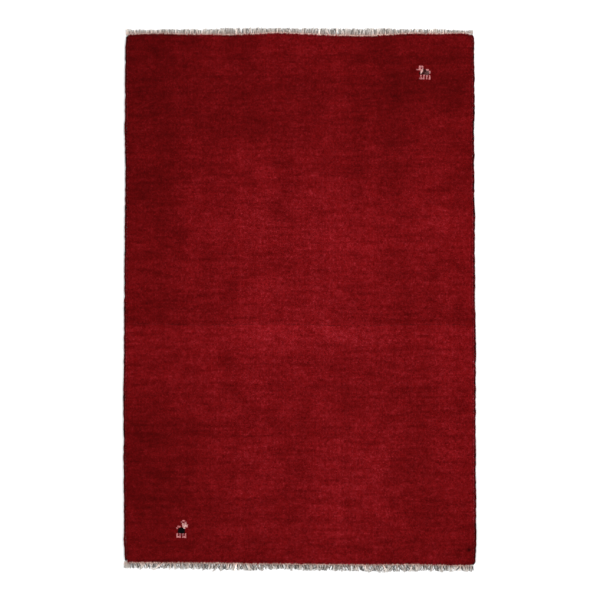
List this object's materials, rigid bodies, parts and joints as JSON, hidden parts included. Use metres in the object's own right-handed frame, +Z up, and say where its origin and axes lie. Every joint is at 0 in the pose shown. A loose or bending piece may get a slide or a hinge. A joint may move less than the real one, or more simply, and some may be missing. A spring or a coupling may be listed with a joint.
{
  "type": "gabbeh rug",
  "caption": "Flat hand-knotted wool rug in plain deep red with a small animal motif near two corners, dark overcast side cords and short natural fringes at both ends.",
  "frame": {"origin": "on the floor, under the middle of the rug's overall length and width, fringes and side cords included", "axes": "+Y along the rug to its head end, at the top of the picture; +X across it to the picture's right; +Z up, out of the pile"},
  "size_m": [1.0068, 1.552, 0.0115],
  "materials": {
    "red_wool_pile": "clipped wool pile, matt",
    "dark_red_wool": "spun wool, matt",
    "natural_warp_yarn": "undyed twisted wool yarn, matt"
  },
  "bodies": {
    "root": {"knotted_cloth": "red_wool_pile", "left_side_cord": "dark_red_wool", "right_side_cord": "dark_red_wool", "head_fringe": "natural_warp_yarn", "foot_fringe": "natural_warp_yarn"}
  },
  "joints": []
}
